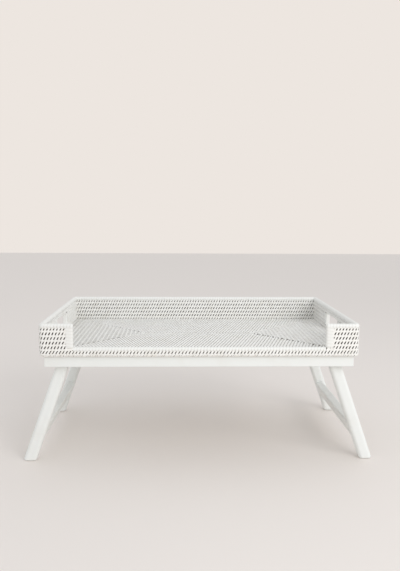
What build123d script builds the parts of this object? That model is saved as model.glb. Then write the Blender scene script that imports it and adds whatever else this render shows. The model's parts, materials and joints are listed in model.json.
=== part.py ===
from build123d import *
import os
from math import cos, radians, sin, sqrt, tan

os.makedirs("parts", exist_ok=True)

# Tray: thick rattan rods coiled in level rows and bound together, all lengths in millimetres
tray_length = 610.0  # over the rims, left to right
tray_depth = 372.0  # over the rims, front to back
row_height = 8.85  # from one rod of the walls to the next
wall_rows = 5  # rows between the floor's edge rod and the rim
row_crest = 9.6  # wall thickness over the middle of a rod
row_joint = 6.8  # wall thickness where two rods are bound together
corner_bend = 6.5  # the rods' centre line turns each corner on this radius
floor_thickness = 9.6
floor_groove = 1.3  # depth of the joint between two floor rods
floor_edge_round = 3.6  # underside of the outermost rod
rim_diameter = 10.2
low_rim_diameter = 9.4  # across the low front
rim_bed = 3.0  # width of the flat on which a rim lies
rim_end_bevel = 1.5

# Low front: the wall drops to one smooth rod between two bound posts
front_end_length = 65.6  # the high end of the front wall, from the rim's outer face to the gap
post_width = 15.0
post_depth = 10.2
post_round = 3.4

# Hand holes in the two end walls
hand_hole_length = 100.0
rows_below_hand_hole = 1
hand_hole_rows = 3
binding_thickness = 4.0
binding_depth = 10.2
binding_round = 3.2

# Wooden frame under the tray
frame_height = 194.5  # from the resting surface to the rails' underside
frame_inset = 9.0
rail_width = 18.0
rail_height = 21.0
rail_round = 1.6

# Splayed folding legs
splay = 19.6  # degrees off vertical
leg_width = 24.0
leg_depth = 20.0
leg_round = 7.0
foot_round = 4.0
pivot_below_tray = 12.5
stop_gap = 0.25
running_gap = 0.25

# Bar that joins each pair of legs
crossbar_height = 28.0
crossbar_thickness = 17.0
crossbar_round = 3.0
crossbar_centre_height = 62.0  # on the legs' centre line, above the resting surface
tenon_thickness = 8.0
tenon_height = 15.0
tenon_length = 12.0
tenon_gap = 0.1

# Fastenings
bolt_radius = 3.0
bolt_in_rail = 14.0
bolt_fit = 0.06
bolt_head_radius = 5.6
bolt_head_height = 3.6
bolt_head_round = 1.6
bolt_socket_radius = 2.2
bolt_socket_depth = 2.0
spacer_radius = 8.0
spacer_thickness = 1.5
head_washer_radius = 7.5
head_washer_thickness = 1.2
dowel_radius = 3.0
dowel_in_front_rail = 12.0
dowel_in_end_rail = 18.0
dowel_spacing = 10.0
dowel_fit = 0.05
screw_radius = 1.8
screw_head_radius = 3.6
screw_head_height = 2.4
screw_in_floor = 6.0
screw_sink_depth = 8.0
screw_sink_radius = 4.2
screw_fit = 0.1
rail_screw_spacing = 150.0
end_screw_spacing = 150.0
half_share = 0.5
quarter_turn = 90.0

# Levels of the rows, and the centre lines that the rods follow
floor_under = frame_height + rail_height
floor_top = floor_under + floor_thickness
wall_top = floor_top + wall_rows * row_height
crest = row_crest * half_share
joint = row_joint * half_share
rim_radius = rim_diameter * half_share
line_x = tray_length * half_share - rim_radius
line_y = tray_depth * half_share - rim_radius
turn_x = line_x - corner_bend
turn_y = line_y - corner_bend
half_gap = tray_length * half_share - front_end_length

# The rails' faces and the pivots
rail_outer_x = tray_length * half_share - frame_inset
rail_outer_y = tray_depth * half_share - frame_inset
rail_inner_x = rail_outer_x - rail_width
rail_inner_y = rail_outer_y - rail_width
half_leg = leg_width * half_share
lean = radians(splay)
pivot_z = floor_under - pivot_below_tray
pivot_x = (rail_inner_x - (half_leg + stop_gap) / cos(lean)
           - (pivot_z - frame_height) * tan(lean))
leg_outer_y = rail_inner_y - spacer_thickness - running_gap
leg_inner_y = leg_outer_y - leg_depth


# One bulging arc for each rod, from joint to joint, as (start, middle, end)
def rod_arcs(first, count, step, across, side):
    arcs = []
    for k in range(count):
        low = first + k * step
        arcs.append(((across + side * joint, low),
                     (across + side * crest, low + step * half_share),
                     (across + side * joint, low + step)))
    return arcs


# Cross-section of the woven wall, its centre line at a distance from the tray's middle
def wall_section(across):
    with BuildSketch() as section:
        with BuildLine():
            for side in (1, -1):
                for arc in rod_arcs(floor_top, wall_rows, row_height, across, side):
                    ThreePointArc(*arc)
            for level in (floor_top, wall_top):
                Line((across - joint, level), (across + joint, level))
        make_face()
    return section.sketch


# Cross-section of a smooth rim, flat where it beds on the rod below, drawn in by an inset
def rim_section(across, bed, diameter, inset=0):
    centre = bed + sqrt((diameter * half_share)**2 - (rim_bed * half_share)**2)
    radius = diameter * half_share - inset
    flat = bed + inset
    half_flat = sqrt(radius**2 - (centre - flat)**2)
    with BuildSketch() as section:
        with BuildLine():
            ThreePointArc((across - half_flat, flat), (across, centre + radius), (across + half_flat, flat))
            Line((across + half_flat, flat), (across - half_flat, flat))
        make_face()
    return section.sketch


# A side piece runs along the end of the tray and turns both corners
def side_run(section):
    with BuildPart() as run:
        with BuildSketch(Plane.XZ.offset(-turn_y)):
            add(section)
        extrude(amount=2 * turn_y)
        for end in (1, -1):
            with BuildSketch(Plane.XZ.offset(-end * turn_y)) as face:
                add(section)
            pin = Axis((turn_x, end * turn_y, 0), (0, 0, end))
            revolve(face.sketch, axis=pin, revolution_arc=quarter_turn)
    return run.part


# A straight piece along the front or back, between two places left to right
def long_run(section, start, stop):
    with BuildPart() as run:
        with BuildSketch(Plane.YZ.offset(start)):
            add(section)
        extrude(amount=stop - start)
    return run.part


# Floor: coiled in ever smaller oblongs, so its rods meet on mitres from the corners
floor_edge_x = line_x - row_height * half_share
floor_edge_y = line_y - row_height * half_share
floor_rods = 2 * round(floor_edge_y / row_height - half_share) + 1
floor_step = 2 * floor_edge_y / floor_rods
mitre_x = floor_edge_x - floor_edge_y


# Rods side by side: bulging arcs above and below, joined by the two edges
def floor_section(half_span, count):
    with BuildSketch() as section:
        with BuildLine():
            for bulge, valley in ((floor_under, floor_under + floor_groove),
                                  (floor_top, floor_top - floor_groove)):
                for k in range(count):
                    left = -half_span + k * floor_step
                    ThreePointArc((left, valley), (left + floor_step * half_share, bulge),
                                  (left + floor_step, valley))
            for edge in (-half_span, half_span):
                Line((edge, floor_under + floor_groove), (edge, floor_top - floor_groove))
        make_face()
    return section.sketch


# The triangle of floor between two mitres, at one end of the tray
def end_field(side):
    with BuildPart() as field:
        with BuildSketch(Plane.XY.offset(floor_under)):
            with BuildLine():
                Polyline((side * mitre_x, 0), (side * floor_edge_x, floor_edge_y),
                         (side * floor_edge_x, -floor_edge_y), close=True)
            make_face()
        extrude(amount=floor_thickness)
    return field.part


# Its rods run front to back
def end_rods(side):
    count = (floor_rods + 1) // 2
    span = count * floor_step
    with BuildPart() as rods:
        with BuildSketch(Plane.XZ.offset(-floor_edge_y)):
            with Locations((side * (floor_edge_x - span * half_share), 0)):
                add(floor_section(span * half_share, count))
        extrude(amount=2 * floor_edge_y)
        add(end_field(side), mode=Mode.INTERSECT)
    return rods.part


# The outermost rod runs under the walls, rounded below and bevelled up to their foot
def edge_rod():
    with BuildPart() as rod:
        with BuildSketch(Plane.XY.offset(floor_under)):
            RectangleRounded(2 * (line_x + crest), 2 * (line_y + crest), corner_bend + crest)
        extrude(amount=floor_thickness)
        fillet(rod.faces().sort_by(Axis.Z)[0].outer_wire().edges(), floor_edge_round)
        chamfer(rod.faces().sort_by(Axis.Z)[-1].outer_wire().edges(), crest - joint)
        with BuildSketch(Plane.XY.offset(floor_under)):
            Rectangle(2 * floor_edge_x, 2 * floor_edge_y)
        extrude(amount=floor_thickness, mode=Mode.SUBTRACT)
    return rod.part


# Screw places under the rails
screw_places = [(x, side * (rail_inner_y + rail_width * half_share))
                for x in (-rail_screw_spacing, 0, rail_screw_spacing) for side in (-1, 1)]
screw_places += [(side * (rail_inner_x + rail_width * half_share), y)
                 for y in (-end_screw_spacing * half_share, end_screw_spacing * half_share)
                 for side in (-1, 1)]
screw_hole = screw_radius + screw_fit

with BuildPart() as tray_floor:
    with BuildSketch(Plane.YZ.offset(-floor_edge_x)):
        add(floor_section(floor_edge_y, floor_rods))
    extrude(amount=2 * floor_edge_x)
    for side in (-1, 1):
        add(end_field(side), mode=Mode.SUBTRACT)
    for side in (-1, 1):
        add(end_rods(side))
    add(edge_rod())
    with BuildSketch(Plane.XY.offset(floor_under)):
        with Locations(*screw_places):
            Circle(screw_hole)
    extrude(amount=screw_in_floor + screw_fit, mode=Mode.SUBTRACT)
tray_floor.part.label = "tray_floor"
export_step(tray_floor.part, "parts/tray_floor.step")

# Woven walls: the back one, and the two ends of the front one
with BuildPart() as back_wall:
    add(long_run(wall_section(line_y), -turn_x, turn_x))
back_wall.part.label = "back_wall"
export_step(back_wall.part, "parts/back_wall.step")

for side, name in ((-1, "front_left_wall"), (1, "front_right_wall")):
    with BuildPart() as front_wall:
        low, high = sorted((side * half_gap, side * turn_x))
        add(long_run(wall_section(-line_y), low, high))
        with BuildSketch(Plane.XY.offset(floor_top + row_height)):
            with Locations((side * (half_gap + post_width * half_share), -line_y)):
                Rectangle(post_width, row_crest)
        extrude(amount=wall_top - floor_top, mode=Mode.SUBTRACT)
    front_wall.part.label = name
    export_step(front_wall.part, "parts/" + name + ".step")

# End walls with their hand holes, and the bindings on the holes' upright edges
hole_low = floor_top + rows_below_hand_hole * row_height
hole_height = hand_hole_rows * row_height
cut_length = hand_hole_length + 2 * binding_thickness
hole_middle = hole_low + hole_height * half_share

for side, end in ((-1, "left"), (1, "right")):
    with BuildPart() as end_wall:
        run = side_run(wall_section(line_x))
        add(run if side > 0 else mirror(run, about=Plane.YZ, mode=Mode.PRIVATE))
        with BuildSketch(Plane.YZ.offset(side * line_x)):
            with Locations((0, hole_middle)):
                Rectangle(cut_length, hole_height)
        extrude(amount=crest, both=True, mode=Mode.SUBTRACT)
    end_wall.part.label = end + "_wall"
    export_step(end_wall.part, "parts/" + end + "_wall.step")

    for place, where in ((-1, "front"), (1, "back")):
        name = end + "_hand_hole_" + where + "_binding"
        with BuildPart() as binding:
            middle = place * (cut_length - binding_thickness) * half_share
            with BuildSketch(Plane.XY.offset(hole_low)):
                with Locations((side * line_x, middle)):
                    Rectangle(binding_depth, binding_thickness)
            extrude(amount=hole_height)
            inner = binding.faces().sort_by(Axis.Y)[0 if place > 0 else -1]
            fillet(inner.edges().filter_by(Axis.Z), binding_round)
        binding.part.label = name
        export_step(binding.part, "parts/" + name + ".step")

# Bound posts at the ends of the low front
for side, name in ((-1, "front_left_post"), (1, "front_right_post")):
    with BuildPart() as post:
        with BuildSketch(Plane.XY.offset(floor_top + row_height)):
            with Locations((side * (half_gap + post_width * half_share), -line_y)):
                RectangleRounded(post_width, post_depth, post_round)
        extrude(amount=wall_top - floor_top - row_height)
    post.part.label = name
    export_step(post.part, "parts/" + name + ".step")

# Smooth rims on the walls
with BuildPart() as back_rim:
    add(long_run(rim_section(line_y, wall_top, rim_diameter), -turn_x, turn_x))
back_rim.part.label = "back_rim"
export_step(back_rim.part, "parts/back_rim.step")

for side, end in ((-1, "left"), (1, "right")):
    with BuildPart() as side_rim:
        run = side_run(rim_section(line_x, wall_top, rim_diameter))
        add(run if side > 0 else mirror(run, about=Plane.YZ, mode=Mode.PRIVATE))
    side_rim.part.label = end + "_rim"
    export_step(side_rim.part, "parts/" + end + "_rim.step")

    name = "front_" + end + "_rim"
    with BuildPart() as front_rim:
        low, high = sorted((side * (half_gap + rim_end_bevel), side * turn_x))
        add(long_run(rim_section(-line_y, wall_top, rim_diameter), low, high))
        for place, inset in ((half_gap + rim_end_bevel, 0), (half_gap, rim_end_bevel)):
            with BuildSketch(Plane.YZ.offset(side * place)):
                add(rim_section(-line_y, wall_top, rim_diameter, inset))
        loft()
    front_rim.part.label = name
    export_step(front_rim.part, "parts/" + name + ".step")

with BuildPart() as front_low_rim:
    add(long_run(rim_section(-line_y, floor_top, low_rim_diameter), -half_gap, half_gap))
front_low_rim.part.label = "front_low_rim"
export_step(front_low_rim.part, "parts/front_low_rim.step")

# Frame rails: the long ones run through, the end ones are dowelled between them
dowel_x = rail_inner_x + rail_width * half_share
rail_middle = frame_height + rail_height * half_share
dowel_levels = [rail_middle + share * dowel_spacing for share in (-half_share, half_share)]
dowel_hole = dowel_radius + dowel_fit
bolt_hole = bolt_radius + bolt_fit


# Stepped hole from below: the head's sink, then the shank's way through
def screw_cut(places):
    with BuildPart() as cut:
        with BuildSketch(Plane.XY.offset(frame_height)):
            with Locations(*places):
                Circle(screw_sink_radius)
        extrude(amount=screw_sink_depth)
        with BuildSketch(Plane.XY.offset(frame_height)):
            with Locations(*places):
                Circle(screw_hole)
        extrude(amount=rail_height)
    return cut.part


for side, name in ((-1, "front_rail"), (1, "back_rail")):
    inner = side * rail_inner_y
    with BuildPart() as long_rail:
        with BuildSketch(Plane.XY.offset(frame_height)):
            with Locations((0, side * (rail_inner_y + rail_width * half_share))):
                Rectangle(2 * rail_outer_x, rail_width)
        extrude(amount=rail_height)
        outer = long_rail.faces().sort_by(Axis.Y)[0 if side < 0 else -1]
        fillet(outer.edges(), rail_round)
        add(screw_cut([p for p in screw_places if p[1] * side > rail_inner_y]), mode=Mode.SUBTRACT)
        with BuildSketch(Plane.XZ.offset(-inner)):
            with Locations(*[(end * dowel_x, z) for end in (-1, 1) for z in dowel_levels]):
                Circle(dowel_hole)
        extrude(amount=-side * dowel_in_front_rail, mode=Mode.SUBTRACT)
        with BuildSketch(Plane.XZ.offset(-inner)):
            with Locations((-pivot_x, pivot_z), (pivot_x, pivot_z)):
                Circle(bolt_hole)
        extrude(amount=-side * bolt_in_rail, mode=Mode.SUBTRACT)
    long_rail.part.label = name
    export_step(long_rail.part, "parts/" + name + ".step")

for side, name in ((-1, "left_rail"), (1, "right_rail")):
    with BuildPart() as end_rail:
        with BuildSketch(Plane.XY.offset(frame_height)):
            with Locations((side * dowel_x, 0)):
                Rectangle(rail_width, 2 * rail_inner_y)
        extrude(amount=rail_height)
        outer = end_rail.faces().sort_by(Axis.X)[0 if side < 0 else -1]
        fillet(outer.edges().filter_by(Axis.Y), rail_round)
        add(screw_cut([p for p in screw_places if p[0] * side > rail_inner_x]), mode=Mode.SUBTRACT)
        for end in (-1, 1):
            with BuildSketch(Plane.XZ.offset(-end * rail_inner_y)):
                with Locations(*[(side * dowel_x, z) for z in dowel_levels]):
                    Circle(dowel_hole)
            extrude(amount=end * dowel_in_end_rail, mode=Mode.SUBTRACT)
    end_rail.part.label = name
    export_step(end_rail.part, "parts/" + name + ".step")

dowel_back = dowel_in_end_rail - dowel_fit
dowel_reach = dowel_in_front_rail - dowel_fit

with BuildPart() as corner_dowels:
    for end in (-1, 1):
        with BuildSketch(Plane.XZ.offset(-end * (rail_inner_y - dowel_back))):
            with Locations(*[(side * dowel_x, z) for side in (-1, 1) for z in dowel_levels]):
                Circle(dowel_radius)
        extrude(amount=-end * (dowel_back + dowel_reach))
corner_dowels.part.label = "corner_dowels"
export_step(corner_dowels.part, "parts/corner_dowels.step")

with BuildPart() as tray_screws:
    head_low = frame_height + screw_sink_depth - screw_head_height
    with BuildSketch(Plane.XY.offset(head_low)):
        with Locations(*screw_places):
            Circle(screw_head_radius)
    extrude(amount=screw_head_height)
    with BuildSketch(Plane.XY.offset(head_low)):
        with Locations(*screw_places):
            Circle(screw_radius)
    extrude(amount=floor_under + screw_in_floor - head_low)
tray_screws.part.label = "tray_screws"
export_step(tray_screws.part, "parts/tray_screws.step")

# Pivot bolts from inside through the legs into the long rails
washer_y = leg_inner_y - running_gap
head_y = washer_y - head_washer_thickness
crown_y = head_y - bolt_head_height
bolt_tip_y = rail_inner_y + bolt_in_rail - bolt_fit


# Discs round both pivots of one long rail, between two distances from the tray's middle
def pivot_discs(side, start, stop, radius):
    with BuildPart() as discs:
        with BuildSketch(Plane.XZ.offset(-side * start)):
            with Locations((-pivot_x, pivot_z), (pivot_x, pivot_z)):
                Circle(radius)
        extrude(amount=-side * (stop - start))
    return discs.part


with BuildPart() as pivot_bolts:
    for side in (-1, 1):
        add(pivot_discs(side, crown_y, head_y, bolt_head_radius))
    fillet(pivot_bolts.edges().filter_by_position(Axis.Y, -crown_y, crown_y), bolt_head_round)
    for side in (-1, 1):
        add(pivot_discs(side, head_y, bolt_tip_y, bolt_radius))
        with BuildSketch(Plane.XZ.offset(-side * crown_y)):
            with Locations((-pivot_x, pivot_z), (pivot_x, pivot_z)):
                RegularPolygon(bolt_socket_radius, 6)
        extrude(amount=-side * bolt_socket_depth, mode=Mode.SUBTRACT)
pivot_bolts.part.label = "pivot_bolts"
export_step(pivot_bolts.part, "parts/pivot_bolts.step")

for name, start, thickness, radius in (
        ("spacer_washers", rail_inner_y - spacer_thickness, spacer_thickness, spacer_radius),
        ("head_washers", head_y, head_washer_thickness, head_washer_radius)):
    with BuildPart() as washers:
        for side in (-1, 1):
            add(pivot_discs(side, start, start + thickness, radius))
            add(pivot_discs(side, start, start + thickness, bolt_hole), mode=Mode.SUBTRACT)
    washers.part.label = name
    export_step(washers.part, "parts/" + name + ".step")

# Legs: round over the pivot, rounded along their edges, cut level at the foot
across = Vector(cos(lean), 0, sin(lean))
down = Vector(sin(lean), 0, -cos(lean))
pivot = Vector(pivot_x, 0, pivot_z)
outer_foot = pivot + across * half_leg + down * ((pivot_z + half_leg * sin(lean)) / cos(lean))
inner_foot = pivot - across * half_leg + down * ((pivot_z - half_leg * sin(lean)) / cos(lean))
bar_drop = (pivot_z - crossbar_centre_height) / cos(lean)
bar_plane = Plane(origin=pivot + down * bar_drop, x_dir=across, z_dir=Vector(0, -1, 0))


# A point of the leg's outline on the upright plane through the pivot
def on_side(point):
    return (point.X, point.Z)


def leg_blank(side):
    with BuildPart() as blank:
        with BuildSketch(Plane.XZ.offset(-side * leg_inner_y)):
            with BuildLine():
                outer_top = pivot + across * half_leg
                inner_top = pivot - across * half_leg
                Line(on_side(inner_foot), on_side(inner_top))
                ThreePointArc(on_side(inner_top), on_side(pivot - down * half_leg), on_side(outer_top))
                Line(on_side(outer_top), on_side(outer_foot))
                Line(on_side(outer_foot), on_side(inner_foot))
            make_face()
        extrude(amount=-side * leg_depth)
        long_edges = [edge for face in blank.faces().filter_by(Axis.Y) for edge in face.edges()
                      if edge.center().Z > leg_round]
        fillet(long_edges, leg_round)
        fillet(blank.faces().sort_by(Axis.Z)[0].edges(), foot_round)
    return blank.part


def leg(side):
    with BuildPart() as whole:
        add(leg_blank(side))
        with BuildSketch(Plane.XZ.offset(-side * leg_inner_y)):
            with Locations((pivot_x, pivot_z)):
                Circle(bolt_hole)
        extrude(amount=-side * leg_depth, mode=Mode.SUBTRACT)
        with BuildSketch(bar_plane.offset(-side * leg_inner_y)):
            with Locations((bar_middle, 0)):
                Rectangle(tenon_thickness + 2 * tenon_gap, tenon_height + 2 * tenon_gap)
        extrude(amount=-side * (tenon_length + tenon_gap), mode=Mode.SUBTRACT)
    return whole.part


# The bar's inner face lies flush with the legs' inner edges, its ends fitted round them
bar_middle = crossbar_thickness * half_share - half_leg
bar_reach = leg_inner_y + leg_round


def crossbar():
    with BuildPart() as bar:
        with BuildSketch(bar_plane):
            with Locations((bar_middle, 0)):
                RectangleRounded(crossbar_thickness, crossbar_height, crossbar_round)
        extrude(amount=bar_reach, both=True)
        for side in (-1, 1):
            add(leg_blank(side), mode=Mode.SUBTRACT)
        with BuildSketch(bar_plane):
            with Locations((bar_middle, 0)):
                Rectangle(tenon_thickness, tenon_height)
        extrude(amount=leg_inner_y + tenon_length, both=True)
    return bar.part


leg_frame = {"front_leg": leg(-1), "back_leg": leg(1), "crossbar": crossbar()}

for side, end in ((-1, "left"), (1, "right")):
    for piece, solid in leg_frame.items():
        name = end + "_" + piece
        with BuildPart() as frame_piece:
            add(solid if side > 0 else mirror(solid, about=Plane.YZ, mode=Mode.PRIVATE))
        frame_piece.part.label = name
        export_step(frame_piece.part, "parts/" + name + ".step")

print("pivots", round(pivot_x, 3), round(pivot_z, 3), "floor rods", floor_rods)
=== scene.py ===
import json
import math

import bmesh
import bpy
from mathutils import Matrix, Vector

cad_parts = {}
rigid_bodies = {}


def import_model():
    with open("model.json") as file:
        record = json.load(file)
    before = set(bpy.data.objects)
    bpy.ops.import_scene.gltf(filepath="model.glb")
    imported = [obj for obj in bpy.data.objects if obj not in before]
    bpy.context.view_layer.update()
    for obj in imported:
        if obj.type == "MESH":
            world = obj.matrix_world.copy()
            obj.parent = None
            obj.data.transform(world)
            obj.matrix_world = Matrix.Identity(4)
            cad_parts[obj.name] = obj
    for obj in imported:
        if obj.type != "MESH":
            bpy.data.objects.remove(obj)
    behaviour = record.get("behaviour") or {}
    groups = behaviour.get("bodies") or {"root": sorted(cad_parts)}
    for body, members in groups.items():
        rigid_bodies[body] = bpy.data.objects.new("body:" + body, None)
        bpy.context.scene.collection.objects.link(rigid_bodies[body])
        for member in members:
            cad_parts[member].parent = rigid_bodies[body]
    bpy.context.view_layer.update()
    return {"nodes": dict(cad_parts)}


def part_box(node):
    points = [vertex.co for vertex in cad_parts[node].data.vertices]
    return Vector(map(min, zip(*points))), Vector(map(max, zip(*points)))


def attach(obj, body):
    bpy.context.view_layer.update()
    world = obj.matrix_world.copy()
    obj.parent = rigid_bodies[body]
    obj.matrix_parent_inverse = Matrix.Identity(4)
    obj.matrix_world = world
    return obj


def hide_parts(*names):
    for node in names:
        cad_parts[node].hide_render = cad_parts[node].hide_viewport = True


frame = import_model()
mm = 0.001  # everything below is in metres
print("frame loaded:", len(frame["nodes"]), "nodes")

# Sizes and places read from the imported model
floorLow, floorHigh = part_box("tray_floor")
wallLow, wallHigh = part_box("back_wall")
rimLow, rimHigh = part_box("back_rim")
lowRimLow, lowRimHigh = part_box("front_low_rim")
postLow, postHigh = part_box("front_right_post")
bindLow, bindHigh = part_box("right_hand_hole_back_binding")
wallRows = 5
rowHeight = (wallHigh.z - wallLow.z) / wallRows
lineY = (wallHigh.y + wallLow.y) / 2  # centre lines of the walls' rods
lineX = floorHigh.x - (wallHigh.y - wallLow.y) / 2
turnX = wallHigh.x  # from here the front and back bend round to the sides
bend = lineX - turnX
turnY = lineY - bend
edgeX = lineX - rowHeight / 2  # where the floor meets the walls' foot
edgeY = lineY - rowHeight / 2
floorRings = round(edgeY / rowHeight - 0.5)  # oblongs round the floor's straight middle rod
ringStep = edgeY / (floorRings + 0.5)
mitreX = edgeX - edgeY  # the mitres' tips, at the middle rod's ends
rodLevel = (floorLow.z + floorHigh.z) / 2
postX = (postLow.x + postHigh.x) / 2
bindY = (bindLow.y + bindHigh.y) / 2


# sRGB hex to the linear colour that shaders take
def linear(code):
    parts = [int(code[i:i + 2], 16) / 255 for i in (1, 3, 5)]
    return [c / 12.92 if c < 0.04045 else ((c + 0.055) / 1.055) ** 2.4 for c in parts] + [1.0]


# Adds a node: settings are its properties, feeds are values or sockets by input name or number
def addNode(tree, kind, feeds=None, **settings):
    made = tree.nodes.new(kind)
    for name, value in settings.items():
        setattr(made, name, value)
    for key, value in (feeds or {}).items():
        if isinstance(value, bpy.types.NodeSocket):
            tree.links.new(value, made.inputs[key])
        else:
            made.inputs[key].default_value = value
    return made


# A tree with named inputs, and the sockets that they come in by
def newTree(name, sockets):
    tree = bpy.data.node_groups.new(name, "GeometryNodeTree")
    tree.is_modifier = True
    for label, kind in sockets:
        tree.interface.new_socket(label, in_out="INPUT", socket_type=kind)
    tree.interface.new_socket("Geometry", in_out="OUTPUT", socket_type="NodeSocketGeometry")
    return tree, tree.nodes.new("NodeGroupInput").outputs


def finishTree(tree, geometry, material):
    dressed = addNode(tree, "GeometryNodeSetMaterial", {"Geometry": geometry, "Material": material})
    addNode(tree, "NodeGroupOutput", {0: dressed.outputs[0]})


def newObject(name, data):
    obj = bpy.data.objects.new(name, data)
    bpy.context.scene.collection.objects.link(obj)
    return obj


# A finished piece: the body that it rides on, and the nodes that it stands for
def keepPiece(name, mesh, body, nodes):
    piece = newObject(name, mesh)
    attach(piece, body)
    if nodes:
        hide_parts(*nodes)
    print("  ", name, len(mesh.polygons), "faces")


# Runs a tree on an object and leaves a plain mesh piece
def grow(name, start, tree, body, slot, nodes, **values):
    mod = start.modifiers.new(name, "NODES")
    mod.node_group = tree
    for item in tree.interface.items_tree:
        if item.in_out == "INPUT" and item.name in values:
            mod[item.identifier] = values[item.name]
    evaluated = start.evaluated_get(bpy.context.evaluated_depsgraph_get())
    mesh = bpy.data.meshes.new_from_object(evaluated)
    mesh.name = name
    start.modifiers.clear()
    bpy.data.objects.remove(start)
    keepPiece(name, mesh, body, nodes)


# Materials, with the real size of a pattern beside it

paint = {
    "peel": "#F8F7F3",
    "peelShade": "#ECE9E1",
    # dark brown of the slits between stitches: unpainted rattan with painted shade
    "slit": "#553F2A",
    # the core rods' colour: bare rattan with painted shade
    "rod": "#3E2C1C",
    "wrap": "#F0F0EC",
    "wrapShade": "#D3CFC6",
    "wood": "#EDEFEC",
    "woodWorn": "#E0DCD2",
    "steel": "#C9CCCE",
    "beech": "#C9A276",
    "beechDark": "#B58A5C",
}


# A material, its tree and its shader, with fixed values set by input name
def newMaterial(name, roughness, **values):
    material = bpy.data.materials.new(name)
    material.use_nodes = True
    shader = material.node_tree.nodes["Principled BSDF"]
    shader.inputs["Roughness"].default_value = roughness
    for key, value in values.items():
        shader.inputs[key].default_value = value
    return material, material.node_tree, shader


def blendColours(tree, share, first, second):
    mix = addNode(tree, "ShaderNodeMix", {"Factor": share}, data_type="RGBA")
    for socket, value in zip((mix.inputs[6], mix.inputs[7]), (first, second)):
        if isinstance(value, bpy.types.NodeSocket):
            tree.links.new(value, socket)
        else:
            socket.default_value = linear(value)
    return mix.outputs[2]


# Split rattan peel, brushed with white water-based paint that stops where it dives between the rods; the
# dark brown at the diving ends stands for that bare rattan and for painted shade in the slits
def makePeelPaint():
    material, tree, shader = newMaterial("white_painted_peel", 0.52)
    tone = addNode(tree, "ShaderNodeAttribute", attribute_name="tone").outputs["Fac"]
    dive = addNode(tree, "ShaderNodeAttribute", attribute_name="dive").outputs["Fac"]
    fibre = addNode(tree, "ShaderNodeUVMap", uv_map="fibre").outputs["UV"]
    # fibres of under half a millimetre, drawn out along the peel, and not the same on any two stitches
    stretched = addNode(tree, "ShaderNodeMapping", {"Vector": fibre, "Scale": (9.0, 0.5, 1.0)})
    apart = addNode(tree, "ShaderNodeCombineXYZ", {"Z": tone})
    shifted = addNode(tree, "ShaderNodeVectorMath", {0: stretched.outputs[0], 1: apart.outputs[0]},
                      operation="ADD")
    grain = addNode(tree, "ShaderNodeTexNoise", {"Vector": shifted.outputs[0], "Scale": 1.0, "Detail": 2.0})
    place = addNode(tree, "ShaderNodeTexCoord").outputs["Object"]
    patch = addNode(tree, "ShaderNodeTexNoise", {"Vector": place, "Scale": 35.0, "Detail": 3.0})  # 30 mm
    uneven = addNode(tree, "ShaderNodeMath", {0: patch.outputs["Fac"], 1: tone}, operation="MULTIPLY")
    shade = addNode(tree, "ShaderNodeMapRange", {"Value": uneven.outputs[0], "From Min": 0.15,
                                                 "From Max": 0.55, "To Min": 0.0, "To Max": 0.6})
    body = blendColours(tree, shade.outputs[0], paint["peel"], paint["peelShade"])
    # painted shade: the peel's diving ends turn dark brown, for the unpainted rattan and the shade down in
    # the slits
    bareAndShaded = addNode(tree, "ShaderNodeMapRange", {"Value": dive, "From Min": 0.25, "From Max": 0.85},
                   interpolation_type="SMOOTHSTEP")
    colour = blendColours(tree, bareAndShaded.outputs[0], body, paint["slit"])
    tree.links.new(colour, shader.inputs["Base Color"])
    bump = addNode(tree, "ShaderNodeBump", {"Height": grain.outputs["Fac"], "Strength": 0.35,
                                            "Distance": 0.12 * mm})
    tree.links.new(bump.outputs[0], shader.inputs["Normal"])
    return material


# Rattan core that the paint did not reach, in the colour of bare rattan in shade: painted shade for the
# slits that it shows through
def makeBareRodAndShade():
    material, tree, shader = newMaterial("unpainted_rattan_core_and_painted_shade", 0.8)
    place = addNode(tree, "ShaderNodeTexCoord").outputs["Object"]
    noise = addNode(tree, "ShaderNodeTexNoise", {"Vector": place, "Scale": 160.0, "Detail": 3.0})  # 6 mm
    colour = blendColours(tree, noise.outputs["Fac"], paint["rod"], paint["slit"])
    tree.links.new(colour, shader.inputs["Base Color"])
    return material


# Peel wound edge to edge and painted thicker: smooth, with a fine line at each turn
def makeWrapPaint():
    material, tree, shader = newMaterial("white_painted_wrapping", 0.45)
    seam = addNode(tree, "ShaderNodeAttribute", attribute_name="seam").outputs["Fac"]
    place = addNode(tree, "ShaderNodeTexCoord").outputs["Object"]
    lumps = addNode(tree, "ShaderNodeTexNoise", {"Vector": place, "Scale": 60.0, "Detail": 3.0})  # 17 mm
    line = addNode(tree, "ShaderNodeMath", {0: seam, 1: 0.6}, operation="MULTIPLY")
    colour = blendColours(tree, line.outputs[0], paint["wrap"], paint["wrapShade"])
    tree.links.new(colour, shader.inputs["Base Color"])
    bump = addNode(tree, "ShaderNodeBump", {"Height": lumps.outputs["Fac"], "Strength": 0.25,
                                            "Distance": 0.2 * mm})
    tree.links.new(bump.outputs[0], shader.inputs["Normal"])
    return material


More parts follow.
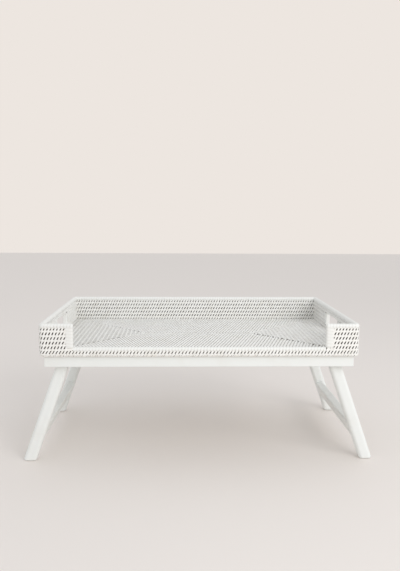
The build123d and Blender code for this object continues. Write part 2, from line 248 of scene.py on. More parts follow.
# Planed hardwood under sprayed white satin paint: the grain only just tells in the gloss
def makeWoodPaint(name, along):
    material, tree, shader = newMaterial("white_satin_wood_" + name, 0.38)
    place = addNode(tree, "ShaderNodeTexCoord").outputs["Object"]
    # grain 5 mm wide with finer lines in it, coarser than the wood's so that it shows
    turned = addNode(tree, "ShaderNodeMapping", {"Vector": place, "Rotation": along,
                                                 "Scale": (6.0, 180.0, 180.0)})
    grain = addNode(tree, "ShaderNodeTexNoise", {"Vector": turned.outputs[0], "Scale": 1.0, "Detail": 4.0})
    patch = addNode(tree, "ShaderNodeTexNoise", {"Vector": place, "Scale": 22.0, "Detail": 4.0})  # 45 mm
    worn = addNode(tree, "ShaderNodeMapRange", {"Value": patch.outputs["Fac"], "From Min": 0.5,
                                                "From Max": 0.8, "To Min": 0.0, "To Max": 0.25})
    colour = blendColours(tree, worn.outputs[0], paint["wood"], paint["woodWorn"])
    tree.links.new(colour, shader.inputs["Base Color"])
    gloss = addNode(tree, "ShaderNodeMapRange", {"Value": patch.outputs["Fac"], "To Min": 0.3,
                                                 "To Max": 0.48})
    tree.links.new(gloss.outputs[0], shader.inputs["Roughness"])
    bump = addNode(tree, "ShaderNodeBump", {"Height": grain.outputs["Fac"], "Strength": 0.3,
                                            "Distance": 0.2 * mm})
    tree.links.new(bump.outputs[0], shader.inputs["Normal"])
    return material


# Bright zinc plating on turned steel
def makeZinc():
    material, tree, shader = newMaterial("bright_zinc_steel", 0.3, Metallic=1.0)
    place = addNode(tree, "ShaderNodeTexCoord").outputs["Object"]
    noise = addNode(tree, "ShaderNodeTexNoise", {"Vector": place, "Scale": 400.0, "Detail": 2.0})  # 2.5 mm
    gloss = addNode(tree, "ShaderNodeMapRange", {"Value": noise.outputs["Fac"], "To Min": 0.22,
                                                 "To Max": 0.42})
    shader.inputs["Base Color"].default_value = linear(paint["steel"])
    tree.links.new(gloss.outputs[0], shader.inputs["Roughness"])
    return material


# Turned beech dowel, unpainted
def makeBeech():
    material, tree, shader = newMaterial("beech_dowel", 0.6)
    place = addNode(tree, "ShaderNodeTexCoord").outputs["Object"]
    stretched = addNode(tree, "ShaderNodeMapping", {"Vector": place, "Scale": (500.0, 40.0, 500.0)})  # 2 mm
    noise = addNode(tree, "ShaderNodeTexNoise", {"Vector": stretched.outputs[0], "Scale": 1.0,
                                                 "Detail": 3.0})
    colour = blendColours(tree, noise.outputs["Fac"], paint["beech"], paint["beechDark"])
    tree.links.new(colour, shader.inputs["Base Color"])
    return material


peelPaint = makePeelPaint()
bareRodAndShade = makeBareRodAndShade()
wrapPaint = makeWrapPaint()
zinc = makeZinc()
beech = makeBeech()
print("materials made")


# Thick rods, coiled row on row
rodSizes = {
    "out": 4.0 * mm,  # radius towards the peel
    "across": 4.5 * mm,  # and towards the next row, a little over half a row so that no light comes through
    # the thin rods under the smooth rims are dark, a painted shade for the slits under the rims
    "filling": 2.6 * mm,  # radius of the thin rods under the smooth rims
    "sides": 12,
    "bendSteps": 6,
}


# A level path round the tray, as an oblong with sharp or bent corners
def rodPath(halfX, halfY, radius, arcSteps):
    if radius == 0:
        corners = ((halfX, -halfY), (halfX, halfY), (-halfX, halfY), (-halfX, -halfY))
        return [Vector(corner) for corner in corners]
    path = []
    for quarter, (sx, sy) in enumerate(((1, -1), (1, 1), (-1, 1), (-1, -1))):
        for i in range(arcSteps + 1):
            angle = (quarter - 1 + i / arcSteps) * math.pi / 2
            path.append(Vector((sx * (halfX - radius) + radius * math.cos(angle),
                                sy * (halfY - radius) + radius * math.sin(angle))))
    return path


# A tube along a level path, mitred at sharp corners
def sweepRod(mesh, path, level, closed, wide=rodSizes["out"], high=rodSizes["across"]):
    sides = rodSizes["sides"]
    rings = []
    count = len(path)
    for i, point in enumerate(path):
        before = (point - path[i - 1]).normalized() if closed or i > 0 else None
        after = (path[(i + 1) % count] - point).normalized() if closed or i < count - 1 else None
        before = before or after
        after = after or before
        middle = (before + after).normalized()
        side = Vector((middle.y, -middle.x)) / max(middle.dot(after), 0.5)
        rings.append([mesh.verts.new((*(point + side * wide * math.cos(a)), level + high * math.sin(a)))
                      for a in (2 * math.pi * n / sides for n in range(sides))])
    for i in range(count if closed else count - 1):
        first, second = rings[i], rings[(i + 1) % count]
        for n in range(sides):
            face = mesh.faces.new((first[n], first[(n + 1) % sides], second[(n + 1) % sides], second[n]))
            face.smooth = True
    if not closed:
        mesh.faces.new(rings[0])
        mesh.faces.new(rings[-1])


# The walls' centre line between two distances from the middle of the front, with points at the marks
def partOfPath(start, stop, marks=()):
    full = rodPath(lineX, lineY, bend, rodSizes["bendSteps"])
    full = [Vector((0, -lineY))] + full + [Vector((0, -lineY))]
    lengths = [0]
    for a, b in zip(full, full[1:]):
        lengths.append(lengths[-1] + (b - a).length)

    def at(distance):
        for a, b, low, high in zip(full, full[1:], lengths, lengths[1:]):
            if low <= distance <= high:
                return a.lerp(b, (distance - low) / (high - low))
        return full[-1]

    kept = [d for d in lengths if start + mm < d < stop - mm]
    return [at(d) for d in sorted([start, stop, *kept, *marks])]


wayRound = 2 * (2 * turnX + 2 * turnY + math.pi * bend)
sideMiddle = turnX + math.pi / 2 * bend + turnY  # from the middle of the front to the middle of a side


# The floor's oblongs, the walls' rows with their hand holes, and a thin dark rod under each smooth rim, as
# painted shade in the slits there
def buildRods():
    mesh = bmesh.new()
    for ring in range(floorRings + 1):
        inset = (floorRings - ring) * ringStep + rowHeight / 2 + ringStep / 2
        halfX, halfY = lineX - inset, lineY - inset
        if halfY < ringStep / 4:
            path = [Vector((-mitreX, 0)), Vector((mitreX, 0))]
            sweepRod(mesh, path, rodLevel, False, ringStep / 2, rodSizes["out"])
        else:
            sweepRod(mesh, rodPath(halfX, halfY, 0, 0), rodLevel, True, ringStep / 2, rodSizes["out"])
    sweepRod(mesh, rodPath(lineX, lineY, bend, rodSizes["bendSteps"]), rodLevel, True)
    for row in range(wallRows):
        level = wallLow.z + (row + 0.5) * rowHeight
        start = postLow.x if row == 0 else postX
        stops = [start, wayRound - start]
        if bindLow.z < level < bindHigh.z:
            otherMiddle = wayRound - sideMiddle
            stops[1:1] = [sideMiddle - bindY, sideMiddle + bindY, otherMiddle - bindY, otherMiddle + bindY]
        for a, b in zip(stops[::2], stops[1::2]):
            sweepRod(mesh, partOfPath(a, b), level, False)
    # painted shade: thin dark rods under the top rim and the low rim, so that the slits there look dark
    filling = rodSizes["filling"]
    lowFront = [Vector((-postLow.x, -lineY)), Vector((postLow.x, -lineY))]
    sweepRod(mesh, partOfPath(postX, wayRound - postX), wallHigh.z, False, filling, filling)
    sweepRod(mesh, lowFront, floorHigh.z, False, filling, filling)
    bmesh.ops.recalc_face_normals(mesh, faces=mesh.faces)
    data = bpy.data.meshes.new("coiled_rods")
    mesh.to_mesh(data)
    mesh.free()
    data.materials.append(bareRodAndShade)
    keepPiece("coiled_rods", data, "tray", [])


buildRods()
print("rods coiled")


# Flat peel that binds each two rods together and leaves a slit between every two stitches
weave = {
    "wallPitch": 6.22 * mm,
    "floorPitch": 6.5 * mm,
    "closerAtEnds": 0.056,  # the stitches lie this share closer at the tray's ends, and wider in its middle
    "outsideStagger": 0.46,  # share of the pitch by which each row of stitches moves on
    "insideStagger": 0.58,
    "floorStagger": 0.42,
    "outsideWidth": 3.8 * mm,  # of the peel, which is drawn tighter on the outside
    "insideWidth": 4.0 * mm,
    "floorWidth": 3.6 * mm,
    "squeezed": 0.8,  # share of that width left where neighbours crowd the peel on top of a rod
    "borderShare": 0.7,  # and where it goes round the tray's lowest rod
    "borderSlant": 0.75,  # share of the slant that the peel keeps there
    "bow": 0.45,  # how far a stitch straightens up between its two rods
    "peelThickness": 0.42 * mm,
    "overRod": 4.33 * mm,  # from a rod's centre out to the peel's underside
    "bulge": 0.05 * mm,  # and this much further between the two rods
    "diveReach": 2.7 * mm,  # the same towards the next rod, where the peel goes down between the two
    "edgeReach": 4.5 * mm,  # and where it turns over a rod at the edge of a hand hole
    "holeEdge": 8 * mm,  # stitches this close to a hand hole are pressed under its binding
    "postEdge": 2 * mm,  # and the lowest ones this close to a post turn over the edge of their upper rod
    "mitreGap": 0.8 * mm,  # from the last stitch of a row to the mitre
    "fillerFrom": 0.8,  # a row that stops this share of a pitch short of the mitre gets one stitch more
    "endsProud": 0.12 * mm,  # the end fields' stitches lap over the long fields' at the mitres
    "looseness": 0.03,  # share by which one stitch is wider or narrower than the next
    "lean": 0.025,  # and the angle, in radians, that it stands out of line
    "seed": 7,
}


# Stitches, drawn flat: x along the row, y across the rows, z out from the crest of the rods

# Points (across, out, tilt) over a rod, at angles in degrees off its crest
def overRod(centre, reach, *angles):
    points = []
    for angle in map(math.radians, angles):
        across, out = math.sin(angle), math.cos(angle)
        tilt = math.atan2(across / reach, out / weave["overRod"])
        points.append((centre + reach * across, weave["overRod"] * out, tilt))
    return points


# A closed strip of peel along such a path, crowned across, slanting with the weave
def stitchMesh(name, path, slope, width, turned):
    mesh = bmesh.new()
    diveMark = mesh.verts.layers.float.new("dive")
    fibre = mesh.loops.layers.uv.new("fibre")
    section = ((-0.5, 0), (-0.38, 1), (0.38, 1), (0.5, 0))  # shares of the width and of the thickness
    atBorder = name.startswith("border")
    last = len(path) - 1
    points = []
    travelled = 0
    for i, (across, out, tilt) in enumerate(path):
        if i:
            travelled += math.hypot(across - path[i - 1][0], out - path[i - 1][1])
        bow = 0 if atBorder else weave["bow"]
        lag = slope * (across - bow * math.sin(math.pi * across / halfRow) * halfRow / math.pi)
        if atBorder and tilt < 0:  # round under the tray's edge the peel stays at a slant
            lag = slope * (-footDrop + weave["overRod"] * tilt * weave["borderSlant"])
        place = Vector((lag, across, out - weave["overRod"]))
        points.append((place, Vector((0, math.sin(tilt), math.cos(tilt))), travelled))
    rings = []
    for i, (point, normal, at) in enumerate(points):
        ahead = (points[min(i + 1, last)][0] - points[max(i - 1, 0)][0]).normalized()
        sideways = ahead.cross(normal).normalized()
        across = path[i][0]
        wide = width * (1 if abs(across) < halfRow - 0.1 * mm else weave["squeezed"])
        if atBorder and across < -halfRow / 2:
            wide = width * weave["borderShare"]
        ring = [mesh.verts.new(point + sideways * a * wide + normal * h * weave["peelThickness"])
                for a, h in section]
        for vert in ring:
            vert[diveMark] = float(i in (0, last))
        rings.append((ring, at))
    for (first, here), (second, there) in zip(rings, rings[1:]):
        for n in range(4):
            m = (n + 1) % 4
            face = mesh.faces.new((first[n], first[m], second[m], second[n]))
            face.smooth = True
            for loop, (x, y) in zip(face.loops, ((n, here), (n + 1, here), (n + 1, there), (n, there))):
                loop[fibre].uv = (x / 4, y / width)
    mesh.faces.new(rings[0][0])
    mesh.faces.new(rings[-1][0])
    bmesh.ops.recalc_face_normals(mesh, faces=mesh.faces)
    if turned:
        bmesh.ops.rotate(mesh, verts=mesh.verts, matrix=Matrix.Rotation(math.pi, 3, "Z"))
    data = bpy.data.meshes.new(name)
    mesh.to_mesh(data)
    mesh.free()
    return data


halfRow = rowHeight / 2
footDrop = floorHigh.z - rodLevel  # from the walls' foot down to the middle of the tray's lowest rod
diveUp, diveDown = (0, 24, 42, 75), (-75, -42, -24, 0)  # angles down between two rods
overUp, overDown = (0, 33, 64, 96), (-96, -64, -33, 0)  # and over a rod with none next to it
lower = (-halfRow / 2, weave["overRod"] + weave["bulge"], 0.0)
upper = (halfRow / 2, weave["overRod"] + weave["bulge"], 0.0)
tuck = [(0.8 * mm, 4.25 * mm, 0.1), (4.6 * mm, 3.0 * mm, 0.4)]  # in under a rim, or under the walls' foot
fromBelow = overRod(-halfRow, weave["diveReach"], *diveDown)
roundEdge = overRod(-footDrop, weave["overRod"], 0, -33, -66, -99, -132, -165)
stitchPaths = {
    "full": fromBelow + [lower, upper] + overRod(halfRow, weave["diveReach"], *diveUp),
    "tucked": fromBelow + [lower] + tuck,
    "tuckedOver": overRod(-halfRow, weave["edgeReach"], *overDown) + [lower] + tuck,
    "curl": fromBelow + overRod(-halfRow, weave["edgeReach"], *overUp)[1:],
    "border": overRod(halfRow, weave["diveReach"], *diveUp[::-1]) + [upper, lower] + roundEdge,
    "borderOver": overRod(halfRow, weave["edgeReach"], *overUp[::-1]) + [upper, lower] + roundEdge,
    "borderTucked": tuck[::-1] + [lower] + roundEdge,
    "borderDive": overRod(-footDrop, weave["diveReach"], *diveUp[:0:-1]) + roundEdge,
}


# Templates for one part of the tray, in the order of their labels, and each one's number
def makeKinds(side, pitch, step, *labels):
    kinds = bpy.data.collections.new(side + "_stitch")
    slope = (weave[side + "Stagger"] + 0.5) * pitch / step
    for i, label in enumerate(labels):
        base = label.replace("Turned", "")
        mesh = stitchMesh(base, stitchPaths[base], slope, weave[side + "Width"], base != label)
        kinds.objects.link(bpy.data.objects.new("%s_stitch_%d_%s" % (side, i, label), mesh))
    return kinds, {label: i for i, label in enumerate(labels)}


wallKindNames = ("full", "tucked", "tuckedTurned", "tuckedOver", "tuckedOverTurned", "curl", "curlTurned",
                 "border", "borderOver", "borderTucked", "borderDive")
outsideKinds = makeKinds("outside", weave["wallPitch"], rowHeight, *wallKindNames)
insideKinds = makeKinds("inside", weave["wallPitch"], rowHeight, *wallKindNames)
floorKinds = makeKinds("floor", weave["floorPitch"], ringStep, "full", "tucked")
print("stitch kinds made")


# The part of every stitch tree that sets stitches on its start points and gives each its own tone
def plantStitches(tree, given):
    kinds = addNode(tree, "GeometryNodeCollectionInfo",
                    {"Collection": given["Kinds"], "Separate Children": True, "Reset Children": True})
    kind = addNode(tree, "GeometryNodeInputNamedAttribute", {"Name": "kind"}, data_type="INT")
    spread = addNode(tree, "GeometryNodeInputNamedAttribute", {"Name": "spread"}, data_type="FLOAT_VECTOR")
    lean, loose = weave["lean"], weave["looseness"]
    leaning = addNode(tree, "FunctionNodeRandomValue",
                      {"Min": (0, 0, -lean), "Max": (0, 0, lean), "Seed": given["Seed"]},
                      data_type="FLOAT_VECTOR")
    turn = addNode(tree, "FunctionNodeEulerToRotation", {"Euler": leaning.outputs["Value"]})
    size = addNode(tree, "FunctionNodeRandomValue",
                   {"Min": (1 - loose, 1, 1), "Max": (1 + loose, 1, 1), "Seed": given["Seed"]},
                   data_type="FLOAT_VECTOR")
    size = addNode(tree, "ShaderNodeVectorMath", {0: size.outputs["Value"], 1: spread.outputs[0]},
                   operation="MULTIPLY")
    planted = addNode(tree, "GeometryNodeInstanceOnPoints",
                      {"Points": given["Geometry"], "Instance": kinds.outputs[0], "Pick Instance": True,
                       "Instance Index": kind.outputs[0], "Rotation": turn.outputs[0],
                       "Scale": size.outputs[0]})
    tone = addNode(tree, "FunctionNodeRandomValue", {"Seed": given["Seed"]}, data_type="FLOAT")
    toned = addNode(tree, "GeometryNodeStoreNamedAttribute",
                    {"Geometry": planted.outputs[0], "Name": "tone", "Value": tone.outputs[1]},
                    data_type="FLOAT", domain="INSTANCE")
    real = addNode(tree, "GeometryNodeRealizeInstances", {0: toned.outputs[0]})
    position = addNode(tree, "GeometryNodeInputPosition")
    return real.outputs[0], addNode(tree, "ShaderNodeSeparateXYZ", {0: position.outputs[0]}).outputs


stitchSockets = [("Geometry", "NodeSocketGeometry"), ("Kinds", "NodeSocketCollection"),
                 ("Seed", "NodeSocketInt")]


# Walls: the flat rows are bent round the tray along a ring at the rods' crest
def makeWallTree():
    tree, given = newTree("wall_stitches", stitchSockets + [
        ("Ring", "NodeSocketObject"), ("Hole Level", "NodeSocketFloat"),
        ("Hole Half Height", "NodeSocketFloat")])
    planted, (along, up, out) = plantStitches(tree, given)
    # what reaches past a hand hole's edge is pressed under its binding
    limits = [addNode(tree, "GeometryNodeInputNamedAttribute", {"Name": name}, data_type="FLOAT").outputs[0]
              for name in ("from", "to")]
    pressed = addNode(tree, "ShaderNodeClamp", {"Value": along, "Min": limits[0], "Max": limits[1]})
    level = addNode(tree, "FunctionNodeCompare", {"A": up, "B": given["Hole Level"],
                                                  "Epsilon": given["Hole Half Height"]}, operation="EQUAL")
    kept = addNode(tree, "GeometryNodeSwitch", {"Switch": level.outputs[0], "False": along,
                                                "True": pressed.outputs[0]}, input_type="FLOAT")
    ring = addNode(tree, "GeometryNodeObjectInfo", {"Object": given["Ring"]}).outputs["Geometry"]
    length = addNode(tree, "GeometryNodeCurveLength", {0: ring})
    distance = addNode(tree, "ShaderNodeMath", {0: kept.outputs[0], 1: length.outputs[0], 2: 0.0},
                       operation="WRAP")
    sample = addNode(tree, "GeometryNodeSampleCurve", {"Curves": ring, "Length": distance.outputs[0]},
                     mode="LENGTH")
    outward = addNode(tree, "ShaderNodeVectorMath", {0: sample.outputs["Tangent"], 1: (0, 0, 1)},
                      operation="CROSS_PRODUCT")
    beyond = addNode(tree, "ShaderNodeVectorMath", {0: outward.outputs[0], "Scale": out}, operation="SCALE")
    place = addNode(tree, "ShaderNodeVectorMath", {0: sample.outputs["Position"], 1: beyond.outputs[0]},
                    operation="ADD")
    raised = addNode(tree, "ShaderNodeCombineXYZ", {"Z": up})
    bent = addNode(tree, "GeometryNodeSetPosition", {"Geometry": planted, "Position": place.outputs[0],
                                                     "Offset": raised.outputs[0]})
    finishTree(tree, bent.outputs[0], peelPaint)
    return tree


# Floor: each field lies flat, and what reaches past a mitre folds round it with its rod
def makeFloorTree():
    tree, given = newTree("floor_stitches", stitchSockets + [
        ("Half Length", "NodeSocketFloat"), ("Turn", "NodeSocketVector"),
        ("Opposite Turn", "NodeSocketVector"), ("Level", "NodeSocketVector")])
    planted, (along, row, out) = plantStitches(tree, given)
    reach = addNode(tree, "ShaderNodeMath", {0: row, 1: given["Half Length"]}, operation="ADD")
    distance = addNode(tree, "ShaderNodeMath", {0: along}, operation="ABSOLUTE")
    side = addNode(tree, "ShaderNodeMath", {0: along}, operation="SIGN")
    reach = addNode(tree, "ShaderNodeMath", {0: reach.outputs[0], 1: 0.0}, operation="MAXIMUM")
    held = addNode(tree, "ShaderNodeMath", {0: distance.outputs[0], 1: reach.outputs[0]},
                   operation="MINIMUM")
    past = addNode(tree, "ShaderNodeMath", {0: distance.outputs[0], 1: held.outputs[0]},
                   operation="SUBTRACT")
    placed = addNode(tree, "ShaderNodeMath", {0: held.outputs[0], 1: side.outputs[0]}, operation="MULTIPLY")
    folded = addNode(tree, "ShaderNodeMath", {0: row, 1: past.outputs[0]}, operation="SUBTRACT")
    place = addNode(tree, "ShaderNodeCombineXYZ", {"X": placed.outputs[0], "Y": folded.outputs[0], "Z": out})
    flat = addNode(tree, "GeometryNodeSetPosition", {"Geometry": planted, "Position": place.outputs[0]})
    joined = addNode(tree, "GeometryNodeJoinGeometry")
    for turn in ("Turn", "Opposite Turn"):
        turned = addNode(tree, "GeometryNodeTransform",
                         {"Geometry": flat.outputs[0], "Rotation": given[turn],
                          "Translation": given["Level"]})
        tree.links.new(turned.outputs[0], joined.inputs[0])
    finishTree(tree, joined.outputs[0], peelPaint)
    return tree


# Start points for the stitches: (along, across, number of its kind, spread, from, to), where from and to
# are the limits that a stitch is pressed in between
def startPoints(name, points):
    mesh = bpy.data.meshes.new(name)
    mesh.from_pydata([(along, across, 0) for along, across, *rest in points], [], [])
    layers = (("kind", "INT", "value"), ("spread", "FLOAT_VECTOR", "vector"), ("from", "FLOAT", "value"),
              ("to", "FLOAT", "value"))
    for column, (label, kind, field) in enumerate(layers, 2):
        layer = mesh.attributes.new(label, kind, "POINT")
        for item, point in zip(layer.data, points):
            setattr(item, field, point[column])
    return newObject(name, mesh)


def curveObject(name, points, closed=False, radii=None):
    data = bpy.data.curves.new(name, "CURVE")
    data.dimensions = "3D"
    spline = data.splines.new("POLY")
    spline.points.add(len(points) - 1)
    for i, (item, point) in enumerate(zip(spline.points, points)):
        item.co = (*point, 1)
        item.radius = radii[i] if radii else 1
    spline.use_cyclic_u = closed
    return newObject(name, data)


# A closed ring at the crest of the rods, run so that outward is on its right-hand side
def ringCurve(name, reach, outside):
    arcSteps, piece = 16, 12 * mm  # fine enough for the stitches to follow the bend
    path = rodPath(lineX + reach, lineY + reach, bend + reach, arcSteps)
    if not outside:
        path = [Vector((p.x, -p.y)) for p in path]  # the inner ring runs the other way, from the back
    first = Vector((0, path[-1].y))
    path = [first] + path
    ring = []
    for point, following in zip(path, path[1:] + path[:1]):
        steps = max(1, round((following - point).length / piece))
        ring += [point.lerp(following, n / steps).to_3d() for n in range(steps)]
    length = sum((b - a).length for a, b in zip(ring, ring[1:] + ring[:1]))
    return curveObject(name, ring, True), length


wallTree = makeWallTree()
floorTree = makeFloorTree()


# A row of stitches over every two rods, right round the tray. The lowest row outside also goes round the
# tray's edge, with a short stitch between every two. Rows stop at the hand holes and the posts.
def stitchWalls(name, outside):
    reach = weave["overRod"] if outside else -weave["overRod"]
    kinds, number = outsideKinds if outside else insideKinds
    stagger = weave["outsideStagger"] if outside else weave["insideStagger"]
    ring, ringLength = ringCurve(name + "_ring", reach, outside)
    count = round(ringLength / weave["wallPitch"])
    holeMiddle = turnX + math.pi / 2 * (bend + reach) + turnY
    holeHalf = bindHigh.y
    slant = (stagger + 0.5) * weave["wallPitch"] / 2  # from a stitch's middle to its place over either rod
    far = 10.0
    points = []
    for row in range(1, wallRows + 2):
        level = floorHigh.z + (row - 1) * rowHeight
        for n in range(2 * count if row == 1 and outside else count):
            short = n >= count
            turn = (n + stagger * row + 0.5 * short) / count % 1.0
            turn -= turn > 0.5
            wave = 4 * math.pi * turn
            along = ringLength * (turn + weave["closerAtEnds"] * math.sin(wave) / (4 * math.pi))
            spread = 1 + weave["closerAtEnds"] * math.cos(wave)
            toFront, above, below = [abs(a) if outside else ringLength / 2 - abs(a)
                                     for a in (along, along + slant, along - slant)]
            toHole = abs(along) - holeMiddle
            inHole = abs(toHole) < holeHalf
            underPost = toFront < postX + mm
            low, high = -far, far
            if abs(toHole) < holeHalf + weave["holeEdge"]:
                middle = math.copysign(holeMiddle, along)
                where = middle + math.copysign(bindY, along - middle)
                low, high = (where, far) if along > middle else (-far, where)
            if row == 1 and above < postLow.x:
                kind = ("borderDive" if short else "borderTucked") if outside else None
            elif row == 1 and outside:
                besidePost = above < postHigh.x + weave["postEdge"]
                kind = "borderDive" if short else "borderOver" if inHole or besidePost else "border"
            elif row == 1:
                kind = "tuckedOverTurned" if inHole else "tuckedTurned"
            elif row == wallRows + 1:
                kind = None if underPost else "tuckedOver" if inHole else "tucked"
            elif underPost:
                kind = "curl" if row == 2 and below > postLow.x else None
            elif inHole and row in (3, 4):  # both of its rods are cut away here
                kind = None
            elif inHole:
                kind = "curl" if row == 2 else "curlTurned"
            else:
                kind = "full"
            if kind:
                points.append((along, level, number[kind], (spread, 1, 1), low, high))
    grow(name, startPoints(name + "_start", points), wallTree, "tray", "woven_rattan",
         ["back_wall", "left_wall", "right_wall", "front_left_wall", "front_right_wall"],
         **{"Kinds": kinds, "Seed": weave["seed"] + outside, "Ring": ring,
            "Hole Level": (bindLow.z + bindHigh.z) / 2,
            "Hole Half Height": (bindHigh.z - bindLow.z) / 2 - mm})
    bpy.data.objects.remove(ring)


stitchWalls("wall_stitches_outside", True)
stitchWalls("wall_stitches_inside", False)
print("walls stitched")


# The stitches of two opposite fields of the floor, their rows at a distance from the tray's middle
def stitchFloor(name, halfLength, turn, under):
    pitch = weave["floorPitch"]
    kinds, number = floorKinds
    points = []
    for ring in range(floorRings + 1):
        row = (ring + 0.5) * ringStep + max(0, -halfLength)
        reach = halfLength + row - weave["mitreGap"]
        phase = weave["floorStagger"] * ring
        kind = number["tucked" if ring == floorRings else "full"]
        first, last = math.ceil(-reach / pitch - phase), math.floor(reach / pitch - phase)
        places = [(n + phase) * pitch for n in range(first, last + 1)]
        for side in (-1, 1):
            if not places or reach - max(side * a for a in places) > pitch * weave["fillerFrom"]:
                places.append(side * reach)
        points += [(along, row, kind, (1, 1, 1), 0, 0) for along in places]
    tilt = math.pi if under else 0.0
    out = weave["overRod"] + (weave["endsProud"] if halfLength < 0 else 0)
    grow(name, startPoints(name + "_start", points), floorTree, "tray", "woven_rattan", ["tray_floor"],
         **{"Kinds": kinds, "Seed": weave["seed"] + len(name), "Half Length": halfLength,
            "Turn": (0.0, tilt, turn), "Opposite Turn": (0.0, tilt, turn + math.pi),
            "Level": (0.0, 0.0, rodLevel + (-out if under else out))})


for side, under in (("top", False), ("underside", True)):
    stitchFloor("floor_long_stitches_" + side, mitreX, 0.0, under)
    stitchFloor("floor_end_stitches_" + side, -mitreX, -math.pi / 2, under)
print("floor stitched")


# Smooth wrapping of the rims and posts
wrap = {
    "stripWidth": 6.0 * mm,  # of the peel, along the rod
    "groove": 0.08 * mm,
    "grooveShare": 0.12,  # of the strip's width, to either side of the groove
    "step": 0.75 * mm,  # between the rings of the mesh
    "endRound": 3.4 * mm,  # radius of the rim's two ends
    "postRound": 3.4 * mm,  # and of the posts' corners
}


# A profile swept along a path, with a fine groove at each turn of the peel
def makeWrapTree():
    tree, given = newTree("peel_wrapping", [
        ("Geometry", "NodeSocketGeometry"), ("Profile", "NodeSocketObject"),
        ("Strip Width", "NodeSocketFloat"), ("Groove", "NodeSocketFloat"), ("Step", "NodeSocketFloat")])
    path = addNode(tree, "GeometryNodeResampleCurve", {"Curve": given["Geometry"], "Length": given["Step"]},
                   mode="LENGTH")
    parameter = addNode(tree, "GeometryNodeSplineParameter")
    path = addNode(tree, "GeometryNodeStoreNamedAttribute",
                   {"Geometry": path.outputs[0], "Name": "along", "Value": parameter.outputs["Length"]},
                   data_type="FLOAT", domain="POINT")
    profile = addNode(tree, "GeometryNodeObjectInfo", {"Object": given["Profile"]})
    section = addNode(tree, "GeometryNodeStoreNamedAttribute",
                      {"Geometry": profile.outputs["Geometry"], "Name": "around",
                       "Value": parameter.outputs["Factor"]}, data_type="FLOAT", domain="POINT")
    radius = addNode(tree, "GeometryNodeInputRadius")
    swept = addNode(tree, "GeometryNodeCurveToMesh",
                    {"Curve": path.outputs[0], "Profile Curve": section.outputs[0],
                     "Scale": radius.outputs[0], "Fill Caps": True})
    along = addNode(tree, "GeometryNodeInputNamedAttribute", {"Name": "along"}, data_type="FLOAT")
    around = addNode(tree, "GeometryNodeInputNamedAttribute", {"Name": "around"}, data_type="FLOAT")
    # distance from the nearest turn's edge, 0 there and 0.5 in the middle of a strip
    turns = addNode(tree, "ShaderNodeMath", {0: along.outputs[0], 1: given["Strip Width"]},
                    operation="DIVIDE")
    turns = addNode(tree, "ShaderNodeMath", {0: turns.outputs[0], 1: around.outputs[0]}, operation="ADD")
    fraction = addNode(tree, "ShaderNodeMath", {0: turns.outputs[0], 1: 0.5}, operation="PINGPONG")
    seam = addNode(tree, "ShaderNodeMapRange",
                   {"Value": fraction.outputs[0], "From Min": 0.0, "From Max": wrap["grooveShare"],
                    "To Min": 1.0, "To Max": 0.0}, interpolation_type="SMOOTHERSTEP").outputs[0]
    marked = addNode(tree, "GeometryNodeStoreNamedAttribute",
                     {"Geometry": swept.outputs[0], "Name": "seam", "Value": seam},
                     data_type="FLOAT", domain="POINT")
    depth = addNode(tree, "ShaderNodeMath", {0: seam, 1: given["Groove"]}, operation="MULTIPLY")
    normal = addNode(tree, "GeometryNodeInputNormal")
    inward = addNode(tree, "ShaderNodeVectorMath", {0: normal.outputs["Normal"], "Scale": depth.outputs[0]},
                     operation="SCALE")
    grooved = addNode(tree, "GeometryNodeSetPosition",
                      {"Geometry": marked.outputs[0], "Offset": inward.outputs[0]})
    real = addNode(tree, "GeometryNodeRealizeInstances", {0: grooved.outputs[0]})
    finishTree(tree, real.outputs[0], wrapPaint)
    return tree


# A rectangle with rounded corners, as points of a closed profile
def roundedProfile(halfX, halfY, radius, arcSteps):
    points = []
    for quarter, (sx, sy) in enumerate(((1, 1), (-1, 1), (-1, -1), (1, -1))):
        for i in range(arcSteps + 1):
            angle = (quarter + i / arcSteps) * math.pi / 2
            points.append((sx * (halfX - radius) + radius * math.cos(angle),
                           sy * (halfY - radius) + radius * math.sin(angle), 0))
    return points


wrapTree = makeWrapTree()


def wrapPiece(name, path, profile, nodes, radii=None):
    grow(name, curveObject(name + "_path", path, False, radii), wrapTree, "tray", "rattan_wrap", nodes,
         **{"Profile": profile, "Strip Width": wrap["stripWidth"], "Groove": -wrap["groove"],
            "Step": wrap["step"]})


def wrapRims():
    radius = (rimHigh.y - rimLow.y) / 2
    lowRadius = (lowRimHigh.y - lowRimLow.y) / 2
    rimProfile = curveObject("rim_profile", roundedProfile(radius, radius, radius, 5), True)
    lowProfile = curveObject("low_rim_profile", roundedProfile(lowRadius, lowRadius, lowRadius, 5), True)
    start, stop = postLow.x, wayRound - postLow.x
    # the rim's two ends over the posts are rounded off
    corner = wrap["endRound"]
    angles = [math.radians(a) for a in (0, 22, 45, 68, 90)]
    steps = [corner * (1 - math.cos(a)) for a in angles]
    shares = [1 - corner / radius * (1 - math.sin(a)) for a in angles]
    run = partOfPath(start, stop, [start + s for s in steps[1:]] + [stop - s for s in steps[1:]])
    radii = shares + [1] * (len(run) - 2 * len(shares)) + shares[::-1]
    wrapPiece("top_rim", [(p.x, p.y, rimHigh.z - radius) for p in run], rimProfile,
              ["back_rim", "left_rim", "right_rim", "front_left_rim", "front_right_rim"], radii)
    lowRun = [(x, -lineY, lowRimHigh.z - lowRadius) for x in (-postLow.x, postLow.x)]
    wrapPiece("low_rim", lowRun, lowProfile, ["front_low_rim"])
    return [rimProfile, lowProfile]


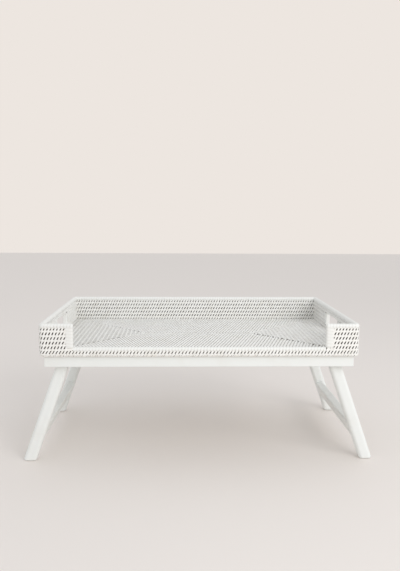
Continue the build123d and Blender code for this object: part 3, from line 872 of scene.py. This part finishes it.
# The posts run up into the rim's underside, so that the wrapping goes over from one to the other
def wrapUprights():
    halfX, halfY = (postHigh.x - postLow.x) / 2, (postHigh.y - postLow.y) / 2
    profile = curveObject("post_profile", roundedProfile(halfX, halfY, wrap["postRound"], 4), True)
    top = rimLow.z + wrap["endRound"] - 0.1 * mm
    for side, end in ((-1, "left"), (1, "right")):
        x = side * postX
        wrapPiece("front_%s_wrapped_post" % end, [(x, -lineY, postLow.z), (x, -lineY, top)], profile,
                  ["front_%s_post" % end])
    return [profile]


profiles = wrapRims() + wrapUprights()
print("rims and posts wrapped")

# The wooden frame, fastenings and hand holes' bindings are the model's own pieces, with these finishes
legSlope = math.radians(90 - 19.6)  # the legs' lean, for their grain
woodX = makeWoodPaint("lengthways", (0, 0, 0))
woodY = makeWoodPaint("crossways", (0, 0, math.pi / 2))
finishes = {"front_rail": woodX, "back_rail": woodX, "left_rail": woodY, "right_rail": woodY,
            "left_crossbar": woodY, "right_crossbar": woodY, "corner_dowels": beech,
            "pivot_bolts": zinc, "spacer_washers": zinc, "head_washers": zinc, "tray_screws": zinc}
for end, side in (("left", 1), ("right", -1)):
    legPaint = makeWoodPaint(end + "_leg", (0, side * legSlope, 0))
    for where in ("front", "back"):
        finishes["%s_%s_leg" % (end, where)] = legPaint
        finishes["%s_hand_hole_%s_binding" % (end, where)] = wrapPaint
for name, material in finishes.items():
    mesh = frame["nodes"][name].data
    mesh.materials.clear()
    mesh.materials.append(material)
print("nodes finished:", len(finishes))

# Templates and profiles go, now that every piece is a mesh of its own
for kinds in (outsideKinds, insideKinds, floorKinds):
    profiles += kinds[0].objects
for template in profiles:
    bpy.data.objects.remove(template)

# Floor, lights and camera
studio = {
    "floor": "#EDE6E0",
    "floorHalf": 6.0,
    "sky": "#FAFCFF",
    "world": 0.82,
    "key": (1.9, -2.1, 1.7),  # the lamps' places, and their sizes and powers
    "keySize": 1.6,
    "keyPower": 4.2,
    "fill": (0.9, -2.1, 0.95),
    "fillSize": 0.9,
    "fillPower": 1.3,
    "spread": 75,  # degrees, so that the lamps light the tray and not the floor under them
}
half = studio["floorHalf"]
floorMesh = bpy.data.meshes.new("studio_floor")
floorMesh.from_pydata([(-half, -half, 0), (half, -half, 0), (half, half, 0), (-half, half, 0)], [],
                      [(0, 1, 2, 3)])
floor = newObject("studio_floor", floorMesh)
floorMaterial = newMaterial("pale_studio_floor", 0.9, **{"Base Color": linear(studio["floor"])})[0]
floorMesh.materials.append(floorMaterial)

# The sky lights the tray. The camera, gloss and glass see the floor's own colour behind it
world = bpy.data.worlds.new("studio")
world.use_nodes = True
bpy.context.scene.world = world
worldTree = world.node_tree
background = worldTree.nodes["Background"]
background.inputs["Color"].default_value = linear(studio["sky"])
background.inputs["Strength"].default_value = studio["world"]
seen = addNode(worldTree, "ShaderNodeBackground", {"Color": linear(studio["floor"]), "Strength": 1.0})
rays = addNode(worldTree, "ShaderNodeLightPath")
direct = addNode(worldTree, "ShaderNodeMath",
                 {0: rays.outputs["Is Camera Ray"], 1: rays.outputs["Is Glossy Ray"]},
                 operation="ADD", use_clamp=True)
direct = addNode(worldTree, "ShaderNodeMath",
                 {0: direct.outputs[0], 1: rays.outputs["Is Transmission Ray"]},
                 operation="ADD", use_clamp=True)
mixed = addNode(worldTree, "ShaderNodeMixShader", {0: direct.outputs[0], 1: background.outputs[0],
                                                   2: seen.outputs[0]})
worldTree.links.new(mixed.outputs[0], worldTree.nodes["World Output"].inputs["Surface"])

for name in ("key", "fill"):
    lamp = bpy.data.lights.new(name, "AREA")
    lamp.size = studio[name + "Size"]
    lamp.energy = studio[name + "Power"]
    lamp.spread = math.radians(studio["spread"])
    obj = newObject(name, lamp)
    obj.location = studio[name]
    obj.rotation_euler = (-Vector(studio[name])).to_track_quat("-Z", "Y").to_euler()

# Camera fitted to the tray's outline, the floor's mitre lines and the feet
shot = {
    "focalPixels": 592.5,
    "imageWidth": 400,
    "place": (-36.0 * mm, -1281.7 * mm, 485.2 * mm),
    "down": 0.1205,  # radians, as the next two
    "yaw": -0.0315,
    "roll": 0.006,
}
cameraData = bpy.data.cameras.new("camera")
cameraData.sensor_fit = "HORIZONTAL"
cameraData.sensor_width = 36.0
cameraData.lens = shot["focalPixels"] * cameraData.sensor_width / shot["imageWidth"]
camera = newObject("camera", cameraData)
camera.location = shot["place"]
aim = Matrix.Rotation(shot["yaw"], 3, "Z") @ Matrix.Rotation(math.pi / 2 - shot["down"], 3, "X")
camera.rotation_euler = (aim @ Matrix.Rotation(shot["roll"], 3, "Z")).to_euler()
bpy.context.scene.camera = camera
bpy.context.scene.view_settings.view_transform = "Standard"
print("studio set")
